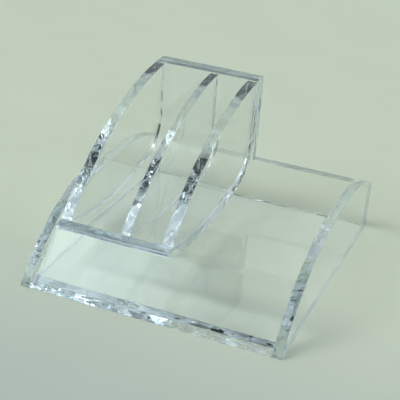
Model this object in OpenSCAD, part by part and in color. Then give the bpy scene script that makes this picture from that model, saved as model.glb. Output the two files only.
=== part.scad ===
// Memo pad holder of clear acrylic sheet: a low tray with arched side walls and a sloped front,
// and at its left rear corner a tall rack of three standing panels on a bent scoop sheet.
// X runs across the front, Y towards the rear and Z up, in millimetres.
// The origin is on the table, under the middle of the footprint.
// All the pieces are flat or bent sheets, cemented edge to face.

/* [Tray] */
// Outside width of the tray, over both side walls
tray_w = 190; // [180:1:230]
// Outside depth of the tray, from the foot of the front panel to the rear face
tray_d = 213; // [203:1:240]
// Sheet thickness of the two low side walls
side_t = 7; // [4:0.5:9]
// Sheet thickness of the floor plate
floor_t = 3; // [2:0.5:8]
// Sheet thickness of the sloped front panel
front_t = 6; // [5:0.5:10]
// Height of the front panel's level top edge
front_h = 33; // [30:0.5:36]
// Sheet thickness of the stepped rear wall
rear_t = 8; // [5:0.5:10]
// Height of the rear wall's low part, behind the memo bay
rear_h = 36.5; // [30:0.5:44]

/* [Side wall arch] */
// Height of the side walls at their crest
arch_h = 55.5; // [48:0.5:60]
// Height of the blunt toe at the front foot
toe_h = 0.8; // [0.4:0.2:3]
// Distance from the front foot to where the front arc reaches the crest
arch_front_y = 114; // [98:1:122]
// Distance from the front foot to where the rear arc leaves the crest
arch_rear_y = 136; // [122:1:170]

/* [Rack] */
// Height of the rack, and of the rear wall behind it
rack_h = 105.5; // [95:0.5:120]
// Sheet thickness of the rack's left and right panels
panel_t = 8; // [5:0.5:10]
// Sheet thickness of the divider between the two rack bays
divider_t = 6.5; // [4:0.5:8]
// Clear width of the left rack bay
left_bay = 39; // [30:0.5:44]
// Clear width of the right rack bay
right_bay = 24.5; // [18:0.5:32]
// Height of the panels' blunt front tips above the front panel's top edge
tip_h = 2.5; // [1.5:0.5:6]

/* [Scoop sheet] */
// Thickness of the bent sheet that is the rack's bottom and back
scoop_t = 7; // [5:0.5:9]
// Distance from the front foot to the scoop's lowest point
scoop_low_y = 110; // [98:1:125]
// Height of the scoop's upper face at its lowest point
scoop_low_z = 25; // [21:0.5:28]
// Inside radius of the bend from the scoop's bottom to its back
scoop_bend_r = 28; // [18:1:40]

/* [Fits] */
// Cement layer between two pieces
joint_gap = 0.12; // [0.06:0.02:0.3]

/* [Hidden] */
$fn = 240;
acrylic = [0.86, 0.92, 0.91, 0.45];
// Room that a cutting outline keeps around what it cuts
margin = 20;
// Reach of an arc past a line or an arc that it runs into, so that the two cross instead of only touching
overlap = 0.02;

// Radius of an arc that rises by dz over the distance dy and is level at one end.
function arc_radius(dy, dz) = (dy * dy + dz * dz) / (2 * dz);

// Side wall outline: front arc from the toe to the crest, and rear arc from the crest to the rear wall
arch_top = arch_h + overlap;
arch_front_r = arc_radius(arch_front_y, arch_top - toe_h);
arch_rear_r = arc_radius(tray_d - arch_rear_y, arch_top - rear_h);

// Front panel: its outer face is the chord from the foot to the front arc at the panel's height
front_top_y = arch_front_y - sqrt(pow(arch_front_r, 2) - pow(arch_front_r - arch_top + front_h, 2));
front_slope = atan2(front_h, front_top_y);
front_depth = front_t / sin(front_slope);
front_gap = joint_gap / sin(front_slope);
behind_front_y = front_top_y + front_depth;

// Places across the tray, measured from its left face
inner_x0 = side_t + joint_gap;
inner_x1 = tray_w - side_t - joint_gap;
divider_x = inner_x0 + panel_t + left_bay;
right_panel_x = divider_x + divider_t + right_bay;
rack_x1 = right_panel_x + panel_t;

// Places along the tray, measured from its foot
rear_face_y = tray_d - rear_t;
scoop_back_y = rear_face_y - joint_gap - scoop_t;

// Scoop: its bottom arc rises to the front panel's top edge, and the bend runs from that arc into the back
scoop_r = arc_radius(scoop_low_y - behind_front_y, front_h - scoop_low_z);
scoop_centre = [scoop_low_y, scoop_low_z + scoop_r];
bend_y = scoop_back_y - scoop_bend_r + overlap;
bend_reach = scoop_r - scoop_bend_r + overlap;
bend_drop = sqrt(pow(bend_reach, 2) - pow(bend_y - scoop_low_y, 2));
bend_centre = [bend_y, scoop_centre[1] - bend_drop];

// Panel outline: an arc that is level at the rear face and comes down to the blunt front tip
panel_arc_r = arc_radius(tray_d - behind_front_y, rack_h - front_h - tip_h);

// Sheet of thickness t with its left face at x, from an outline in depth and height.
module standing_across(x, t) {
    translate([x - tray_w / 2, -tray_d / 2, 0])
        rotate([90, 0, 90])
            linear_extrude(t)
                children();
}

// Sheet of thickness t with its front face at y, from an outline in width and height.
module standing_along(y, t) {
    translate([-tray_w / 2, y + t - tray_d / 2, 0])
        rotate([90, 0, 0])
            linear_extrude(t)
                children();
}

// Half of the depth and height plane that lies behind the front panel's inner face and the cement on it.
module behind_front_panel() {
    foot_y = front_depth + front_gap;
    polygon([
        [foot_y, 0],
        [foot_y + rack_h / tan(front_slope), rack_h],
        [tray_d, rack_h],
        [tray_d, 0]
    ]);
}

// Outline of one low side wall: a rectangle with its front and rear upper corners rounded off by the arcs.
module side_wall_outline() {
    intersection() {
        square([tray_d, arch_h]);
        union() {
            translate([arch_front_y, arch_top - arch_front_r])
                circle(arch_front_r);
            translate([arch_front_y, -margin])
                square([tray_d, arch_h + 2 * margin]);
        }
        union() {
            translate([arch_rear_y, arch_top - arch_rear_r])
                circle(arch_rear_r);
            translate([arch_rear_y - tray_d, -margin])
                square([tray_d, arch_h + 2 * margin]);
        }
    }
}

// Space inside the scoop, grown by k all round: above its bottom, inside its bend and before its back.
module scoop_space(k) {
    reach = (scoop_r + margin) / bend_reach;
    bend_edge = scoop_centre + reach * (bend_centre - scoop_centre);
    intersection() {
        translate(scoop_centre)
            circle(scoop_r + k);
        polygon([
            scoop_centre,
            bend_edge,
            [bend_edge[0], -margin],
            [-margin, -margin],
            [-margin, scoop_centre[1]]
        ]);
    }
    translate(bend_centre)
        circle(scoop_bend_r + k);
    translate([scoop_low_y, bend_centre[1]])
        square([scoop_back_y + k - scoop_low_y, rack_h]);
}

// Outline of the bent sheet: bottom, bend and back in one.
module scoop_outline() {
    intersection() {
        difference() {
            scoop_space(scoop_t);
            scoop_space(0);
        }
        behind_front_panel();
    }
}

// Outline of one rack panel, which stands in the scoop under the panel arc.
module panel_outline() {
    intersection() {
        scoop_space(-joint_gap);
        translate([tray_d, rack_h - panel_arc_r])
            circle(panel_arc_r);
        translate([behind_front_y + front_gap, 0])
            square([tray_d, rack_h]);
    }
}

module floor_plate() {
    color(acrylic)
        standing_across(inner_x0, inner_x1 - inner_x0)
            intersection() {
                behind_front_panel();
                square([rear_face_y - joint_gap, floor_t]);
            }
}

module front_panel() {
    color(acrylic)
        standing_across(inner_x0, inner_x1 - inner_x0)
            polygon([
                [0, 0],
                [front_top_y, front_h],
                [behind_front_y, front_h],
                [front_depth, 0]
            ]);
}

module left_side_wall() {
    color(acrylic)
        standing_across(0, side_t)
            side_wall_outline();
}

module right_side_wall() {
    color(acrylic)
        standing_across(tray_w - side_t, side_t)
            side_wall_outline();
}

module rear_wall() {
    color(acrylic)
        standing_along(rear_face_y, rear_t)
            polygon([
                [inner_x0, 0],
                [inner_x0, rack_h],
                [rack_x1, rack_h],
                [rack_x1, rear_h],
                [inner_x1, rear_h],
                [inner_x1, 0]
            ]);
}

module rack_scoop() {
    color(acrylic)
        standing_across(inner_x0, rack_x1 - inner_x0)
            scoop_outline();
}

module rack_left_panel() {
    color(acrylic)
        standing_across(inner_x0, panel_t)
            panel_outline();
}

module rack_divider() {
    color(acrylic)
        standing_across(divider_x, divider_t)
            panel_outline();
}

module rack_right_panel() {
    color(acrylic)
        standing_across(right_panel_x, panel_t)
            panel_outline();
}

floor_plate();
front_panel();
left_side_wall();
right_side_wall();
rear_wall();
rack_scoop();
rack_left_panel();
rack_divider();
rack_right_panel();
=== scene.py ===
# %% [markdown]
# # A memo pad holder of clear acrylic
#
# This lesson dresses a desk organiser made of nothing but clear sheet: a low tray with arched side walls
# and a sloped front, and a tall rack with three standing panels. Clear plastic has no colour or pattern
# to hide behind. All that the eye reads is edges, joints and what they bend into view, so the lesson
# spends its effort on clean outlines, softened edges, a true material and a studio that is worth
# reflecting.
#
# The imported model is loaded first. It is the fixed frame: every sheet is made where its part of the frame
# is.

# %% Load the frame
from math import atan2, cos, degrees, pi, radians, sin, sqrt, tan

import bpy
from mathutils import Matrix, Vector


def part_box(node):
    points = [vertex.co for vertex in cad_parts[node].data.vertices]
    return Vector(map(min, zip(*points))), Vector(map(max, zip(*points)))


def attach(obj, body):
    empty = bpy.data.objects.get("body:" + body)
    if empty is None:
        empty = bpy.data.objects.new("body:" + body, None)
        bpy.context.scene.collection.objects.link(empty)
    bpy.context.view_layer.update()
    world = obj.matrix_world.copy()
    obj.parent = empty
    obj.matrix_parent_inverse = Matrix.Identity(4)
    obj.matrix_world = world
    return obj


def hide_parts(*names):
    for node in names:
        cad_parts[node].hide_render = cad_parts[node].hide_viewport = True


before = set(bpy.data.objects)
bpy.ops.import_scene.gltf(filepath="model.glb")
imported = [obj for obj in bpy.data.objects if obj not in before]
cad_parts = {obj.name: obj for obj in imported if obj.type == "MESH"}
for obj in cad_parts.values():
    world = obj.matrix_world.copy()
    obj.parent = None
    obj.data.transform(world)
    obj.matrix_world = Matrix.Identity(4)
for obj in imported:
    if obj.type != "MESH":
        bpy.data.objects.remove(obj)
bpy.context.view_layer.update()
scene = bpy.context.scene
print("frame:", sorted(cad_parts))

# %% [markdown]
# ## Measuring the frame
#
# Most sizes can be read off the boxes of the frame's parts, so they're never typed twice. Depth is
# measured from the foot of the front panel and width from the tray's left face, as on a maker's drawing.
# A box can't tell how a curve runs inside it, so the few values that place the curves are written here,
# in metres.

# %% Read sizes from the boxes
wall_low, wall_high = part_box("left_side_wall")
front_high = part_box("front_panel")[1]
floor_low, floor_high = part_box("floor_plate")
rear_low, rear_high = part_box("rear_wall")
scoop_low, scoop_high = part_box("rack_scoop")

corner = Vector((wall_low.x, wall_low.y, 0))
tray_depth = wall_high.y - wall_low.y
crest_height = wall_high.z
front_height = front_high.z
behind_front = front_high.y - corner.y
floor_thickness = floor_high.z
rear_thickness = rear_high.y - rear_low.y
rack_height = rear_high.z
cement = floor_low.x - wall_high.x
print(f"tray {tray_depth * 1000:.1f} mm deep, cement {cement * 1000:.2f} mm")

# %% Values that place the curves
toe_height = 0.0008
front_arc_end = 0.114
rear_arc_start = 0.136
rear_low_height = 0.0365
scoop_low_depth = 0.110
scoop_low_height = 0.025
scoop_bend_radius = 0.028
tip_height = 0.0025
scoop_thickness = scoop_low_height - scoop_low.z
print(f"scoop {scoop_thickness * 1000:.1f} mm thick")

# %% [markdown]
# ## Outlines
#
# Each sheet is an outline with a thickness. An outline is a list of points in depth and height, going
# round against the clock. Straight runs need only their ends. A round run could be a Bezier curve, but
# the real sheets are cut along circles, so it is an arc with a point about every three quarters of a
# degree. With so many points the polished curved edges bend reflections smoothly instead of in steps.

# %% Arcs
ARC_STEP = radians(0.75)


def arc(centre, radius, start, end):
    """Points along a circle from one angle to another, both ends included."""
    steps = max(2, round(abs(end - start) / ARC_STEP))
    angles = [start + (end - start) * i / steps for i in range(steps + 1)]
    return [(centre[0] + radius * cos(a), centre[1] + radius * sin(a)) for a in angles]


def level_arc_radius(run, rise):
    """Radius of an arc that is level at one end and rises by that much over that run."""
    return (run * run + rise * rise) / (2 * rise)


def angle_at(centre, point):
    """Angle at which a point is seen from a centre."""
    return atan2(point[1] - centre[1], point[0] - centre[0])


# %% [markdown]
# ### Side walls and front
#
# A side wall climbs from the front foot in one arc, runs level along its crest, and comes down in a
# flatter arc to the rear wall. The front panel is the chord of the front arc, so the walls' edges stand a
# little proud of it. The floor lies between the front panel's slope and the rear wall.

# %% Side wall outline
UPWARDS = pi / 2
front_radius = level_arc_radius(front_arc_end, crest_height - toe_height)
front_centre = (front_arc_end, crest_height - front_radius)
rear_radius = level_arc_radius(tray_depth - rear_arc_start, crest_height - rear_low_height)
rear_centre = (rear_arc_start, crest_height - rear_radius)
toe_angle = angle_at(front_centre, (0, toe_height))
rear_end_angle = angle_at(rear_centre, (tray_depth, rear_low_height))

side_wall_outline = [(0, 0), (tray_depth, 0)]
side_wall_outline += arc(rear_centre, rear_radius, rear_end_angle, UPWARDS)
side_wall_outline += arc(front_centre, front_radius, UPWARDS, toe_angle)
print(f"side wall: {len(side_wall_outline)} points")

# %% Front panel and floor outlines
front_top = front_arc_end - sqrt(front_radius ** 2 - (front_radius - crest_height + front_height) ** 2)
front_slope = atan2(front_height, front_top)
front_depth = behind_front - front_top
front_cement = cement / sin(front_slope)
front_outline = [(0, 0), (front_depth, 0), (behind_front, front_height), (front_top, front_height)]


def behind_front_at(height):
    """Depth of the cement's rear face on the sloped front panel, at that height."""
    return front_depth + front_cement + height / tan(front_slope)


rear_face = rear_low.y - corner.y
floor_outline = [
    (behind_front_at(0), 0),
    (rear_face - cement, 0),
    (rear_face - cement, floor_thickness),
    (behind_front_at(floor_thickness), floor_thickness),
]
print(f"front panel slopes at {degrees(front_slope):.1f} degrees")

# %% [markdown]
# ### Rack
#
# The rack's bottom and back are one sheet, heated and bent round a former. Its upper face is a long
# shallow arc that runs into a tight bend, and the two arcs share a tangent where they meet, as a bent
# sheet does. A flat sheet with a Simple Deform modifier could be bent too, but then the panels couldn't
# be cut to the same curve. They stand in the scoop, and their front edges follow one sweeping arc.

# %% Scoop outline
scoop_radius = level_arc_radius(scoop_low_depth - behind_front, front_height - scoop_low_height)
scoop_centre = (scoop_low_depth, scoop_low_height + scoop_radius)
scoop_back = rear_face - cement - scoop_thickness
bend_depth = scoop_back - scoop_bend_radius
bend_drop = sqrt((scoop_radius - scoop_bend_radius) ** 2 - (bend_depth - scoop_low_depth) ** 2)
bend_centre = (bend_depth, scoop_centre[1] - bend_drop)
bend_start = angle_at(scoop_centre, bend_centre)


def scoop_front_height(radius):
    """Height at which the cut along the front panel meets the scoop's circle of that radius."""
    lean = 1 / tan(front_slope)
    start = behind_front_at(0) - scoop_centre[0]
    a = lean * lean + 1
    b = 2 * (start * lean - scoop_centre[1])
    c = start * start + scoop_centre[1] ** 2 - radius ** 2
    return (-b - sqrt(b * b - 4 * a * c)) / (2 * a)


def scoop_run(radius, bend_radius):
    """One face of the scoop, from its front cut through the bend to level with the bend's centre."""
    height = scoop_front_height(radius)
    front = (behind_front_at(height), height)
    bottom = arc(scoop_centre, radius, angle_at(scoop_centre, front), bend_start)
    return bottom + arc(bend_centre, bend_radius, bend_start, 0)[1:]


scoop_outline = scoop_run(scoop_radius + scoop_thickness, scoop_bend_radius + scoop_thickness)
scoop_outline += [(scoop_back + scoop_thickness, rack_height), (scoop_back, rack_height)]
scoop_outline += reversed(scoop_run(scoop_radius, scoop_bend_radius))
print(f"scoop: {len(scoop_outline)} points")

# %% Rack panel outline
panel_radius = level_arc_radius(tray_depth - behind_front, rack_height - front_height - tip_height)
panel_centre = (tray_depth, rack_height - panel_radius)
panel_front = behind_front + front_cement
panel_back = scoop_back - cement
standing_radius = scoop_radius - cement


def on_circle(centre, radius, depth, side):
    """Point of a circle at that depth, on its upper (1) or lower (-1) side."""
    return (depth, centre[1] + side * sqrt(radius ** 2 - (depth - centre[0]) ** 2))


lower_tip_angle = angle_at(scoop_centre, on_circle(scoop_centre, standing_radius, panel_front, -1))
upper_tip_angle = angle_at(panel_centre, on_circle(panel_centre, panel_radius, panel_front, 1))
top_back_angle = angle_at(panel_centre, on_circle(panel_centre, panel_radius, panel_back, 1))
panel_outline = arc(scoop_centre, standing_radius, lower_tip_angle, bend_start)
panel_outline += arc(bend_centre, scoop_bend_radius - cement, bend_start, 0)[1:]
panel_outline += arc(panel_centre, panel_radius, top_back_angle, upper_tip_angle)
print(f"rack panel: {len(panel_outline)} points")

# %% [markdown]
# ### Rear wall
#
# One sheet closes the tray's back and, stepped up, also backs the rack. Two boxes would show a joint that
# isn't there, so the step is cut in one outline. The sheet faces the other way, so its outline is in
# width and height.

# %% Rear wall outline
rack_right = scoop_high.x - corner.x
inner_left = rear_low.x - corner.x
inner_right = rear_high.x - corner.x
rear_outline = [
    (inner_left, 0),
    (inner_right, 0),
    (inner_right, rear_low_height),
    (rack_right, rear_low_height),
    (rack_right, rack_height),
    (inner_left, rack_height),
]
print(f"rear wall steps down {(rack_height - rear_low_height) * 1000:.1f} mm behind the memo bay")

# %% [markdown]
# ## Clear acrylic
#
# Cast acrylic bends light a little less than window glass: its index of refraction is 1.49. A Glass
# shader could stand for it, but the Principled shader with full transmission also takes a tint and a
# finish. A real sheet isn't perfect, and three things show it: a faint haze, small flats on the cut
# edges, and a tint that grows with depth. Each has its own cell. All of them are procedural, and they
# read Object coordinates or an attribute of the sheet, so they stay put on the piece.
#
# Two helpers come first. The table and the room use them too.

# %% Shader helpers
def colour_ramp(nodes, links, value, low, high):
    """Colour that goes from one pair of value and colour to another."""
    ramp = nodes.new("ShaderNodeValToRGB")
    for stop, (position, colour) in zip(ramp.color_ramp.elements, (low, high)):
        stop.position = position
        stop.color = colour
    links.new(value, ramp.inputs["Fac"])
    return ramp.outputs["Color"]


def soft_step(nodes, links, value, start, end):
    """Number that goes softly from 0 where the value is start to 1 where it is end."""
    step = nodes.new("ShaderNodeMapRange")
    step.interpolation_type = "SMOOTHSTEP"
    step.inputs["From Min"].default_value = start
    step.inputs["From Max"].default_value = end
    links.new(value, step.inputs["Value"])
    return step.outputs["Result"]


# %% [markdown]
# ### Haze
#
# Handling leaves a haze that comes and goes over a few centimetres. A noise texture drives the roughness
# and a trace of tint. Both stay very weak, or the sheet would look frosted.

# %% Haze
HAZE_SCALE = 38.0
HAZE_DETAIL = 4.0
HAZE_FROM = 0.45
HAZE_TO = 0.75
HAZE_ROUGHNESS = 0.004
COOLEST_TINT = (0.3, (0.985, 0.995, 0.995, 1))
CLEAREST_TINT = (0.7, (0.995, 1.0, 0.998, 1))


def add_haze(nodes, links, place, shader):
    """Roughness and tint that wander over the sheet."""
    haze = nodes.new("ShaderNodeTexNoise")
    haze.inputs["Scale"].default_value = HAZE_SCALE
    haze.inputs["Detail"].default_value = HAZE_DETAIL
    links.new(place, haze.inputs["Vector"])
    roughness = nodes.new("ShaderNodeMapRange")
    roughness.inputs["From Min"].default_value = HAZE_FROM
    roughness.inputs["From Max"].default_value = HAZE_TO
    roughness.inputs["To Min"].default_value = 0.0
    roughness.inputs["To Max"].default_value = HAZE_ROUGHNESS
    links.new(haze.outputs["Fac"], roughness.inputs["Value"])
    links.new(roughness.outputs["Result"], shader.inputs["Roughness"])
    tint = colour_ramp(nodes, links, haze.outputs["Fac"], COOLEST_TINT, CLEAREST_TINT)
    links.new(tint, shader.inputs["Base Color"])


# %% [markdown]
# ### Small flats on cut edges
#
# A saw or a cutter leaves an edge that isn't one plane: it glitters in small blocks of bright and dark.
# Noise through a Bump node makes such an edge milky, because it bends light a little everywhere. Real
# flats bend it the same way all over, and then jump. So Voronoi cells are used: the cell's random colour,
# less a middle grey, is the way in which the cell leans, and its dot product with the way from the cell's
# middle is the height of a tilted plane. The attribute cut_edge, which each sheet carries, says where and
# how strongly.

# %% Small flats on cut edges
CUT_EDGE = "cut_edge"
FACET_SCALE = 110.0
FACET_TILT = 0.3
MIDDLE_GREY = (0.5, 0.5, 0.5)


def add_cut_flats(nodes, links, place, shader):
    """Small tilted planes on the cut edges."""
    cells = nodes.new("ShaderNodeTexVoronoi")
    cells.inputs["Scale"].default_value = FACET_SCALE
    links.new(place, cells.inputs["Vector"])
    from_middle = nodes.new("ShaderNodeVectorMath")
    from_middle.operation = "SUBTRACT"
    links.new(place, from_middle.inputs[0])
    links.new(cells.outputs["Position"], from_middle.inputs[1])
    lean = nodes.new("ShaderNodeVectorMath")
    lean.operation = "SUBTRACT"
    lean.inputs[1].default_value = MIDDLE_GREY
    links.new(cells.outputs["Color"], lean.inputs[0])
    height = nodes.new("ShaderNodeVectorMath")
    height.operation = "DOT_PRODUCT"
    links.new(from_middle.outputs["Vector"], height.inputs[0])
    links.new(lean.outputs["Vector"], height.inputs[1])
    edge = nodes.new("ShaderNodeAttribute")
    edge.attribute_name = CUT_EDGE
    on_edges = nodes.new("ShaderNodeMath")
    on_edges.operation = "MULTIPLY"
    links.new(height.outputs["Value"], on_edges.inputs[0])
    links.new(edge.outputs["Fac"], on_edges.inputs[1])
    bump = nodes.new("ShaderNodeBump")
    bump.inputs["Distance"].default_value = FACET_TILT
    links.new(on_edges.outputs["Value"], bump.inputs["Height"])
    links.new(bump.outputs["Normal"], shader.inputs["Normal"])


# %% [markdown]
# ### Tint that grows with depth
#
# Through a face the sheet looks colourless, but along an edge light has travelled far inside it and comes
# out darker and cooler. A tinted Base Color can't do that, because it counts faces and not the way
# between them. Volume Absorption does: it takes its share for every millimetre.

# %% Acrylic material
ACRYLIC_INDEX = 1.49
DEPTH_COLOUR = (0.74, 0.81, 0.85, 1)
DEPTH_DENSITY = 5.5


def acrylic_material():
    """Clear sheet with haze, flats on its cut edges and a tint in its depth."""
    material = bpy.data.materials.new("clear_acrylic")
    material.use_nodes = True
    nodes, links = material.node_tree.nodes, material.node_tree.links
    shader = nodes["Principled BSDF"]
    shader.inputs["IOR"].default_value = ACRYLIC_INDEX
    shader.inputs["Transmission Weight"].default_value = 1.0
    place = nodes.new("ShaderNodeTexCoord").outputs["Object"]
    add_haze(nodes, links, place, shader)
    add_cut_flats(nodes, links, place, shader)
    depth = nodes.new("ShaderNodeVolumeAbsorption")
    depth.inputs["Color"].default_value = DEPTH_COLOUR
    depth.inputs["Density"].default_value = DEPTH_DENSITY
    links.new(depth.outputs["Volume"], nodes["Material Output"].inputs["Volume"])
    return material


acrylic = acrylic_material()
print("acrylic:", len(acrylic.node_tree.nodes), "shader nodes")

# %% [markdown]
# ## From outline to sheet
#
# All nine pieces are made by the same rule: take the outline as one flat face, give it the sheet's
# thickness, stand it up and put it in its place. Nine faces with a Solidify modifier each would do it
# too, but a Geometry Nodes tree holds the rule once, with its sizes as named inputs. Each function below
# builds one stretch of the tree and hands its end on to the next.
#
# Extrude Mesh makes the front and the sides. It leaves the back open, so the outline itself, turned over,
# closes it, and Merge by Distance joins the two.

# %% Outline to closed sheet
WELD_DISTANCE = 1e-6


def closed_sheet(add, link, given):
    """The outline with a thickness, and a field that is true on its extruded sides."""
    front = add("GeometryNodeExtrudeMesh")
    front.mode = "FACES"
    front.inputs["Individual"].default_value = False
    link(given["Outline"], front.inputs["Mesh"])
    link(given["Thickness"], front.inputs["Offset Scale"])
    back = add("GeometryNodeFlipFaces")
    link(given["Outline"], back.inputs["Mesh"])
    both = add("GeometryNodeJoinGeometry")
    link(front.outputs["Mesh"], both.inputs["Geometry"])
    link(back.outputs["Mesh"], both.inputs["Geometry"])
    closed = add("GeometryNodeMergeByDistance")
    closed.inputs["Distance"].default_value = WELD_DISTANCE
    link(both.outputs["Geometry"], closed.inputs["Geometry"])
    return closed.outputs["Geometry"], front.outputs["Side"]


# %% [markdown]
# ### Which faces are cut edges
#
# On a wall the extruded sides are the cut edges, and the two outlines are its broad faces. On the floor
# and the front, which are extruded across the tray, the broad faces are among the sides, and the outlines
# are their small ends. So a face counts as cut when its area is under a limit. There is one limit for
# sides, which is set for each sheet, and one for ends. A Store Named Attribute node writes the strength
# of the flats on the cut faces.

# %% Cut edges
LARGEST_CUT_END = 0.003


def marked_sheet(add, link, given, sheet, on_side):
    """The sheet with the strength of the flats written on its cut faces."""
    limit = add("GeometryNodeSwitch")
    limit.input_type = "FLOAT"
    limit.inputs["False"].default_value = LARGEST_CUT_END
    link(on_side, limit.inputs["Switch"])
    link(given["Largest cut side"], limit.inputs["True"])
    area = add("GeometryNodeInputMeshFaceArea")
    is_cut = add("ShaderNodeMath")
    is_cut.operation = "LESS_THAN"
    link(area.outputs["Area"], is_cut.inputs[0])
    link(limit.outputs["Output"], is_cut.inputs[1])
    strength = add("ShaderNodeMath")
    strength.operation = "MULTIPLY"
    link(is_cut.outputs["Value"], strength.inputs[0])
    link(given["Facets"], strength.inputs[1])
    edge = add("GeometryNodeStoreNamedAttribute")
    edge.data_type = "FLOAT"
    edge.domain = "FACE"
    edge.inputs["Name"].default_value = CUT_EDGE
    link(sheet, edge.inputs["Geometry"])
    link(strength.outputs["Value"], edge.inputs["Value"])
    return edge.outputs["Geometry"]


# %% [markdown]
# ### Standing the sheet in its place
#
# The last stretch turns the sheet upright, moves it to its place and gives it its finish. The place is in
# the mesh and not in the object, so that the material's Object coordinates are the same for all pieces.

# %% Place and finish
def standing_sheet(add, link, given, sheet):
    """The sheet in its place, shaded smooth and with its material."""
    standing = add("GeometryNodeTransform")
    link(sheet, standing.inputs["Geometry"])
    link(given["Turn"], standing.inputs["Rotation"])
    link(given["Place"], standing.inputs["Translation"])
    smooth = add("GeometryNodeSetShadeSmooth")
    link(standing.outputs["Geometry"], smooth.inputs["Geometry"])
    real = add("GeometryNodeRealizeInstances")
    link(smooth.outputs["Geometry"], real.inputs["Geometry"])
    finished = add("GeometryNodeSetMaterial")
    link(real.outputs["Geometry"], finished.inputs["Geometry"])
    link(given["Finish"], finished.inputs["Material"])
    return finished.outputs["Geometry"]


# %% [markdown]
# ### The whole tree
#
# The inputs are declared first, because each stretch reads some of them. A modifier finds an input by its
# identifier and not by its name, so the identifiers are kept for the next step.

# %% Geometry Nodes tree for a cut sheet
SHEET_INPUTS = {
    "Outline": "NodeSocketGeometry",
    "Thickness": "NodeSocketFloat",
    "Turn": "NodeSocketRotation",
    "Place": "NodeSocketVector",
    "Largest cut side": "NodeSocketFloat",
    "Facets": "NodeSocketFloat",
    "Finish": "NodeSocketMaterial",
}


def sheet_tree():
    """The whole rule, and the identifiers of its inputs by name."""
    tree = bpy.data.node_groups.new("cut_sheet", "GeometryNodeTree")
    face = tree.interface
    identifiers = {}
    for name, kind in SHEET_INPUTS.items():
        identifiers[name] = face.new_socket(name, in_out="INPUT", socket_type=kind).identifier
    face.new_socket("Sheet", in_out="OUTPUT", socket_type="NodeSocketGeometry")

    add, link = tree.nodes.new, tree.links.new
    given = add("NodeGroupInput").outputs
    sheet, on_side = closed_sheet(add, link, given)
    sheet = marked_sheet(add, link, given, sheet, on_side)
    sheet = standing_sheet(add, link, given, sheet)
    link(sheet, add("NodeGroupOutput").inputs["Sheet"])
    return tree, identifiers


cut_sheet, cut_sheet_inputs = sheet_tree()
print("cut_sheet tree:", len(cut_sheet.nodes), "nodes,", len(cut_sheet_inputs), "inputs")

# %% [markdown]
# ### One sheet
#
# Polishing rounds the real edges by a fraction of a millimetre, and that hairline catches the light. A
# small Bevel modifier after the tree does it on all edges that are sharp enough, and leaves the fine
# steps of the arcs alone. Weighted Normal keeps the broad faces optically flat. The result is turned into
# a plain mesh, the modifiers are removed, and the sheet takes the place of its part of the frame.

# %% Make one sheet and let it stand for its part of the frame
EDGE_SOFTENING = 0.0003
SOFTENING_STEPS = 2
SHARP_FROM = radians(30)


def plain_mesh(piece):
    """Mesh of a piece as its modifiers leave it."""
    graph = bpy.context.evaluated_depsgraph_get()
    seen = piece.evaluated_get(graph)
    return bpy.data.meshes.new_from_object(seen, preserve_all_data_layers=True, depsgraph=graph)


def make_sheet(node, outline, inputs):
    """Cut one sheet from its outline, with the tree's other inputs by name."""
    mesh = bpy.data.meshes.new(node + "_outline")
    mesh.from_pydata([(u, v, 0) for u, v in outline], [], [range(len(outline))])
    sheet = bpy.data.objects.new(node + "_sheet", mesh)
    scene.collection.objects.link(sheet)

    rule = sheet.modifiers.new("cut_sheet", "NODES")
    rule.node_group = cut_sheet
    rule[cut_sheet_inputs["Finish"]] = acrylic
    for name, value in inputs.items():
        rule[cut_sheet_inputs[name]] = value
    polish = sheet.modifiers.new("polish", "BEVEL")
    polish.width = EDGE_SOFTENING
    polish.segments = SOFTENING_STEPS
    polish.limit_method = "ANGLE"
    polish.angle_limit = SHARP_FROM
    flat = sheet.modifiers.new("flat_faces", "WEIGHTED_NORMAL")
    flat.keep_sharp = False

    plain = plain_mesh(sheet)
    plain.name = node + "_sheet"
    sheet.modifiers.clear()
    sheet.data = plain
    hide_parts(node)
    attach(sheet, "root")
    print(f"{node}: {len(plain.polygons)} faces")


# %% [markdown]
# ### Cutting the nine sheets
#
# Sheets that stand across the tray take their place from the left face of their part's box. The rear wall
# stands along it, and a turned outline grows towards the front, so its place is at the rear face.
#
# The edges of the floor and the front look as the saw left them, so their flats are strong. The edges of
# the walls, the panels and the scoop look polished, with only a trace of the flats. The scoop's bent
# faces are many narrow strips, which an area can't tell from cut edges, so no side of it counts and only
# its ends do.

# %% Cut the sheets
ALL_SIDES = 1.0
NARROW_SIDES = 0.002
NO_SIDES = 0.0
SAWN = 0.75
POLISHED = 0.25
ACROSS = (pi / 2, 0, pi / 2)
ALONG = (pi / 2, 0, 0)

across_sheets = {
    "floor_plate": (floor_outline, NARROW_SIDES, SAWN),
    "front_panel": (front_outline, NARROW_SIDES, SAWN),
    "left_side_wall": (side_wall_outline, ALL_SIDES, POLISHED),
    "right_side_wall": (side_wall_outline, ALL_SIDES, POLISHED),
    "rack_scoop": (scoop_outline, NO_SIDES, POLISHED),
    "rack_left_panel": (panel_outline, ALL_SIDES, POLISHED),
    "rack_divider": (panel_outline, ALL_SIDES, POLISHED),
    "rack_right_panel": (panel_outline, ALL_SIDES, POLISHED),
}
for node, (outline, cut_side, facets) in across_sheets.items():
    low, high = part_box(node)
    make_sheet(node, outline, {
        "Thickness": high.x - low.x,
        "Turn": ACROSS,
        "Place": (low.x, corner.y, 0),
        "Largest cut side": cut_side,
        "Facets": facets,
    })
make_sheet("rear_wall", rear_outline, {
    "Thickness": rear_thickness,
    "Turn": ALONG,
    "Place": (corner.x, rear_high.y, 0),
    "Largest cut side": ALL_SIDES,
    "Facets": POLISHED,
})

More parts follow.
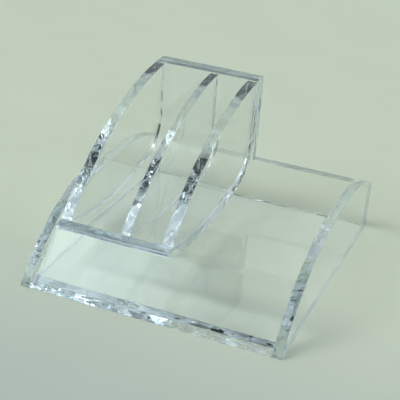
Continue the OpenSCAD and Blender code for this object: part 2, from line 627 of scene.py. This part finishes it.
# %% [markdown]
# ## Table
#
# The holder stands on a pale grey-green table that fills the picture. Its colour is nearly even, so a
# noise texture mottles it only a little. Towards the front the light falls off. A lamp with a gradient
# could do that, but the clear sheets would show the lamp, so a painted shade makes the table's colour a
# little darker there.
#
# A sheet of acrylic never quite touches the table, and two faces at exactly the same height would fight
# in the render, so the table lies a hair lower.

# %% Table paint and painted shade
TABLE_ROUGHNESS = 0.6
TABLE_SHINE = 0.2
MOTTLE_SCALE = 9.0
MOTTLE_DETAIL = 6.0
DARKEST_PAINT = (0.3, (0.577, 0.602, 0.480, 1))
PALEST_PAINT = (0.7, (0.597, 0.622, 0.498, 1))
FALLOFF_FRONT = -0.24
FALLOFF_REAR = 0.02
FRONT_PAINTED_SHADE = (0.0, (0.80, 0.81, 0.90, 1))
REAR_PAINTED_SHADE = (1.0, (1, 1, 1, 1))


def table_material():
    """Pale paint that is a little mottled, with a painted shade that darkens it towards the front."""
    material = bpy.data.materials.new("table_top")
    material.use_nodes = True
    nodes, links = material.node_tree.nodes, material.node_tree.links
    shader = nodes["Principled BSDF"]
    shader.inputs["Roughness"].default_value = TABLE_ROUGHNESS
    shader.inputs["Specular IOR Level"].default_value = TABLE_SHINE
    place = nodes.new("ShaderNodeTexCoord").outputs["Object"]
    mottle = nodes.new("ShaderNodeTexNoise")
    mottle.inputs["Scale"].default_value = MOTTLE_SCALE
    mottle.inputs["Detail"].default_value = MOTTLE_DETAIL
    links.new(place, mottle.inputs["Vector"])
    paint = colour_ramp(nodes, links, mottle.outputs["Fac"], DARKEST_PAINT, PALEST_PAINT)

    # Painted shade: the paint's colour is multiplied darker towards the front, where the light falls off.
    parts = nodes.new("ShaderNodeSeparateXYZ")
    links.new(place, parts.inputs["Vector"])
    rearwards = soft_step(nodes, links, parts.outputs["Y"], FALLOFF_FRONT, FALLOFF_REAR)
    painted_shade = colour_ramp(nodes, links, rearwards, FRONT_PAINTED_SHADE, REAR_PAINTED_SHADE)
    painted_shade_mix = nodes.new("ShaderNodeMix")
    painted_shade_mix.data_type = "RGBA"
    painted_shade_mix.blend_type = "MULTIPLY"
    painted_shade_mix.inputs["Factor"].default_value = 1.0
    links.new(paint, painted_shade_mix.inputs["A"])
    links.new(painted_shade, painted_shade_mix.inputs["B"])
    links.new(painted_shade_mix.outputs["Result"], shader.inputs["Base Color"])
    return material


# %% Table
TABLE_REACH = 4.0
TABLE_DROP = 0.0001

table_mesh = bpy.data.meshes.new("table")
table_corners = [(-1, -1), (1, -1), (1, 1), (-1, 1)]
table_points = [(x * TABLE_REACH, y * TABLE_REACH, -TABLE_DROP) for x, y in table_corners]
table_mesh.from_pydata(table_points, [], [range(len(table_points))])
table_mesh.materials.append(table_material())
table = bpy.data.objects.new("table", table_mesh)
scene.collection.objects.link(table)
print(f"table: {2 * TABLE_REACH:.0f} m square")

# %% [markdown]
# ## Studio
#
# Clear edges show the whole room folded up small, so the room matters more than any one lamp. Lamps and
# softboxes could be set up round the table, but a World drawn with nodes gives the same light with less
# noise, and light and dark can be put in it by direction.
#
# The room is a soft, even dome. The camera's side of it is dark, as it is behind studio lamps, and that
# draws the dark blocks in the edges. A softbox with a hot core hangs high at the left, where the glow on
# the sloped front comes from, and others hang at the right and overhead. Each patch has a direction, the
# angles in degrees at which its core ends and its rim fades out, and a colour. Later patches lie over
# earlier ones.

# %% Room values
ROOM_LEVEL = 0.95
DOME_FOOT = (0.0, (0.50, 0.56, 0.58, 1))
DOME_TOP = (1.0, (0.54, 0.60, 0.62, 1))
UNLIT = (0.03, 0.035, 0.04, 1)
ROOM_PATCHES = {
    "camera_side": ((0.05, -0.93, 0.36), 36, 41, UNLIT),
    "wall_behind_the_rack": ((-0.31, 0.73, 0.61), 12, 18, (0.72, 0.80, 0.82, 1)),
    "window_rear_left": ((-0.71, 0.49, 0.50), 9, 12, (1.3, 1.4, 1.45, 1)),
    "softbox_left": ((-0.64, -0.32, 0.69), 15, 25, (3.3, 4.1, 4.3, 1)),
    "softbox_left_core": ((-0.66, -0.14, 0.74), 7, 12, (9.4, 9.4, 9.2, 1)),
    "softbox_right": ((0.72, -0.15, 0.68), 13, 17, (2.4, 2.6, 2.7, 1)),
    "softbox_overhead": ((0.05, -0.14, 0.99), 8, 11, (2.2, 2.35, 2.4, 1)),
    "dark_ceiling_rear_right": ((0.37, 0.41, 0.83), 13, 15, UNLIT),
    "dark_ceiling_front": ((-0.12, -0.42, 0.90), 8, 11, UNLIT),
}

# %% [markdown]
# ### Building the room
#
# A patch is the dot product of the ray's direction with its own: that is the cosine of the angle between
# them, and a soft step on it is the patch's edge. Near the horizon the dome has a colour like the
# table's. It's mixed in last, so the background stays pale from every side.

# %% Room
HORIZON = (0.52, 0.58, 0.52, 1)
HORIZON_ENDS = 0.14
HORIZON_FULL = 0.08


def mixed_in(nodes, links, light, amount, colour):
    """The light with that amount of a colour mixed in."""
    mix = nodes.new("ShaderNodeMix")
    mix.data_type = "RGBA"
    mix.clamp_result = False
    links.new(amount, mix.inputs["Factor"])
    links.new(light, mix.inputs["A"])
    mix.inputs["B"].default_value = colour
    return mix.outputs["Result"]


def studio_world():
    """Soft dome with its patches, and the horizon last."""
    world = bpy.data.worlds.new("studio")
    world.use_nodes = True
    nodes, links = world.node_tree.nodes, world.node_tree.links
    ray = nodes.new("ShaderNodeTexCoord").outputs["Generated"]
    parts = nodes.new("ShaderNodeSeparateXYZ")
    links.new(ray, parts.inputs["Vector"])
    light = colour_ramp(nodes, links, parts.outputs["Z"], DOME_FOOT, DOME_TOP)
    for direction, core, rim, colour in ROOM_PATCHES.values():
        towards = nodes.new("ShaderNodeVectorMath")
        towards.operation = "DOT_PRODUCT"
        towards.inputs[1].default_value = Vector(direction).normalized()
        links.new(ray, towards.inputs[0])
        inside = soft_step(nodes, links, towards.outputs["Value"], cos(radians(rim)), cos(radians(core)))
        light = mixed_in(nodes, links, light, inside, colour)
    low = soft_step(nodes, links, parts.outputs["Z"], HORIZON_ENDS, HORIZON_FULL)
    light = mixed_in(nodes, links, light, low, HORIZON)
    links.new(light, nodes["Background"].inputs["Color"])
    nodes["Background"].inputs["Strength"].default_value = ROOM_LEVEL
    return world


scene.world = studio_world()
print("room:", ", ".join(ROOM_PATCHES))

# %% [markdown]
# ## Camera
#
# The camera looks down at the holder from the front right, a little rolled. A Track To constraint would
# aim it but can't roll it, so it's turned by a matrix. Its place, angles and lens were fitted to the
# photo's straight edges.

# %% Camera
CAMERA_PLACE = Vector((0.24117, -0.67107, 0.39626))
CAMERA_TURN = radians(20.347)
CAMERA_TILT = radians(63.64)
CAMERA_ROLL = radians(4.432)
SENSOR_WIDTH = 36
LENS = 98.65

camera_data = bpy.data.cameras.new("camera")
camera_data.sensor_width = SENSOR_WIDTH
camera_data.lens = LENS
camera = bpy.data.objects.new("camera", camera_data)
aimed = Matrix.Rotation(CAMERA_TURN, 4, "Z") @ Matrix.Rotation(CAMERA_TILT, 4, "X")
camera.matrix_world = Matrix.Translation(CAMERA_PLACE) @ aimed @ Matrix.Rotation(CAMERA_ROLL, 4, "Z")
scene.collection.objects.link(camera)
scene.camera = camera
print(f"camera: {CAMERA_PLACE.length:.2f} m away, {LENS} mm lens")

# %% [markdown]
# ## Light paths and colour
#
# Light that enters a clear sheet by its edge is led along inside it, from face to face, like light in a
# fibre. Such a ray needs far more bounces than the usual dozen, or deep edges would turn black. Blurring
# glossy rays would calm the noise, but it would also wash out the small flats, so it's off. The Standard
# view shows colours as they're written.

# %% Light paths and colour
MOST_BOUNCES = 120

scene.cycles.max_bounces = MOST_BOUNCES
scene.cycles.transmission_bounces = MOST_BOUNCES
scene.cycles.glossy_bounces = MOST_BOUNCES
scene.cycles.blur_glossy = 0
scene.view_settings.view_transform = "Standard"
print(f"light paths: up to {MOST_BOUNCES} bounces")
